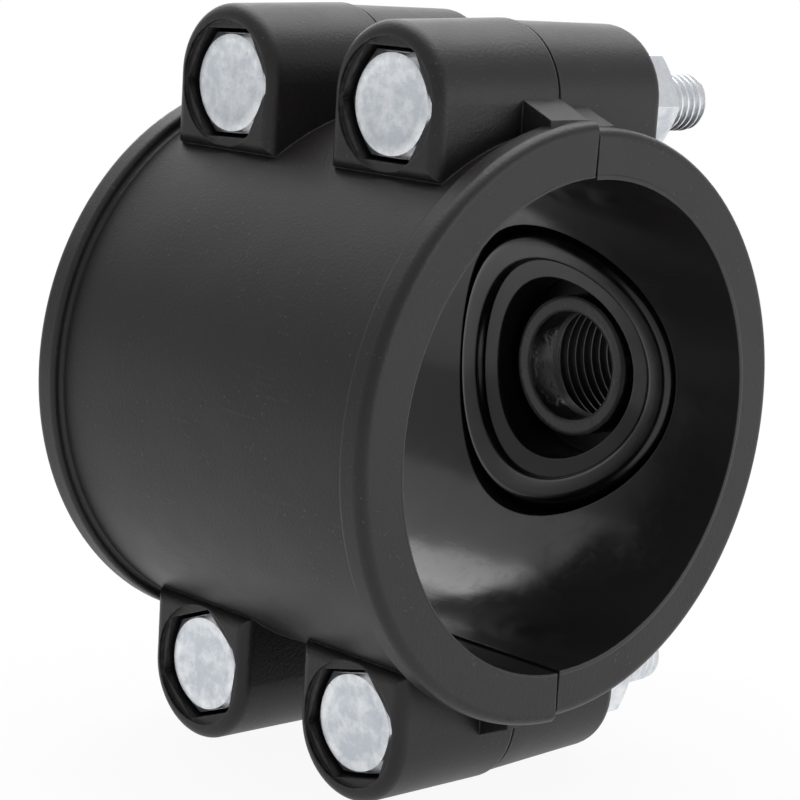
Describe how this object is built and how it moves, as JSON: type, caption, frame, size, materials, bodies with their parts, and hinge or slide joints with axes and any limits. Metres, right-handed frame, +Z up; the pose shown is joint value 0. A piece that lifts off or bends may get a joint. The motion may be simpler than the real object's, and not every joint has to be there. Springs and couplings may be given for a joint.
{
  "type": "tapping saddle",
  "caption": "Two-piece pipe tapping saddle: half shells clamped round a pipe by through bolts and nuts, with a rubber sealed threaded side outlet.",
  "frame": {"origin": "on the pipe axis, halfway along the saddle", "axes": "+Y along the pipe, +X out of the threaded outlet, +Z up; the bolts run along X"},
  "size_m": [0.0949, 0.0634, 0.1006],
  "materials": {
    "black_plastic": "moulded black polypropylene, satin with a fine grain",
    "seal_rubber": "smooth black rubber",
    "zinc_steel": "bright zinc plating, slightly blue, fine drawn marks"
  },
  "bodies": {
    "outlet_side": {"outlet_half": "black_plastic", "seal_ring": "seal_rubber"},
    "strap_side": {"strap_half": "black_plastic", "bolt_upper_front": "zinc_steel", "bolt_upper_back": "zinc_steel", "bolt_lower_front": "zinc_steel", "bolt_lower_back": "zinc_steel"},
    "nut_upper_front_body": {"nut_upper_front": "zinc_steel"},
    "nut_upper_back_body": {"nut_upper_back": "zinc_steel"},
    "nut_lower_front_body": {"nut_lower_front": "zinc_steel"},
    "nut_lower_back_body": {"nut_lower_back": "zinc_steel"}
  },
  "joints": [
    {"name": "nut_turn_upper_front", "type": "hinge", "parent": "outlet_side", "child": "nut_upper_front_body", "pos_m": [0.0196, -0.015, 0.0395], "axis": [1, 0, 0], "range_deg": [0, 2592]},
    {"name": "nut_turn_upper_back", "type": "hinge", "parent": "outlet_side", "child": "nut_upper_back_body", "pos_m": [0.0196, 0.015, 0.0395], "axis": [1, 0, 0], "range_deg": [0, 2592]},
    {"name": "nut_turn_lower_front", "type": "hinge", "parent": "outlet_side", "child": "nut_lower_front_body", "pos_m": [0.0196, -0.015, -0.0395], "axis": [1, 0, 0], "range_deg": [0, 2592]},
    {"name": "nut_turn_lower_back", "type": "hinge", "parent": "outlet_side", "child": "nut_lower_back_body", "pos_m": [0.0196, 0.015, -0.0395], "axis": [1, 0, 0], "range_deg": [0, 2592]},
    {"name": "strap_open", "type": "slide", "parent": "outlet_side", "child": "strap_side", "axis": [-1, 0, 0], "range_m": [0, 0.009]}
  ],
  "couplings": [
    {"joint": "nut_turn_upper_front", "follows": "strap_open", "rad_per_m": 5026.5},
    {"joint": "nut_turn_upper_back", "follows": "strap_open", "rad_per_m": 5026.5},
    {"joint": "nut_turn_lower_front", "follows": "strap_open", "rad_per_m": 5026.5},
    {"joint": "nut_turn_lower_back", "follows": "strap_open", "rad_per_m": 5026.5}
  ]
}
